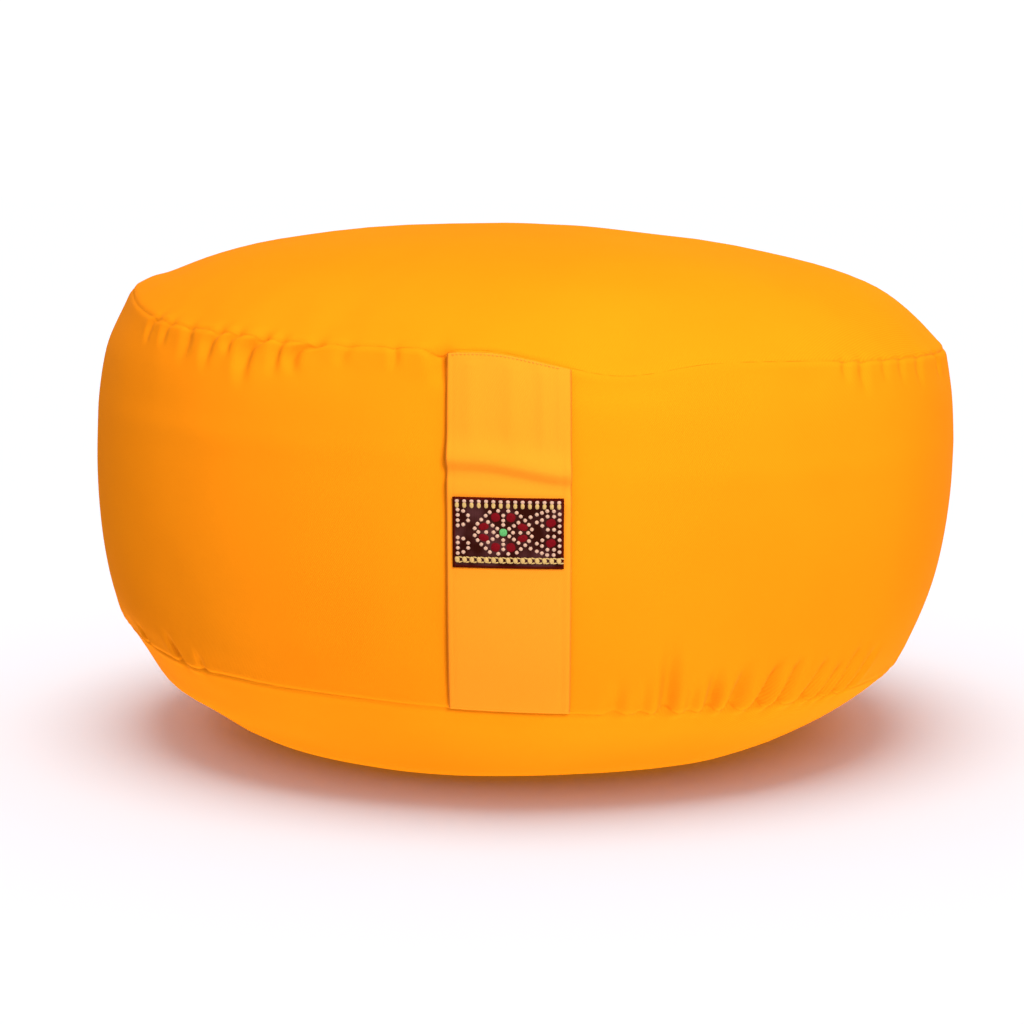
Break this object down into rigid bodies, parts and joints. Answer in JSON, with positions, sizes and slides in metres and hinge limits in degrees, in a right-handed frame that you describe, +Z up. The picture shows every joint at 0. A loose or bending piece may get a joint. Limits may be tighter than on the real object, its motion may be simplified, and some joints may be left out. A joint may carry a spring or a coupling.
{
  "type": "zafu meditation cushion",
  "caption": "Round filled sitting cushion with a crowned top panel, a tall bulging side band, a flat strap from seam to seam and a woven ribbon patch.",
  "frame": {"origin": "centre of the overall box in plan, on the ground plane that the bottom panel rests on", "axes": "+Z up, the strap and ribbon patch face -Y, +X to the right as seen from the front"},
  "size_m": [0.334, 0.3376, 0.1961],
  "materials": {
    "cover_cotton": "matte fine twill",
    "strap_cotton": "matte fine twill",
    "woven_ribbon": "woven ribbon with raised dots"
  },
  "bodies": {
    "root": {"cushion": "cover_cotton", "handle_strap": "strap_cotton", "ribbon_patch": "woven_ribbon"}
  },
  "joints": []
}
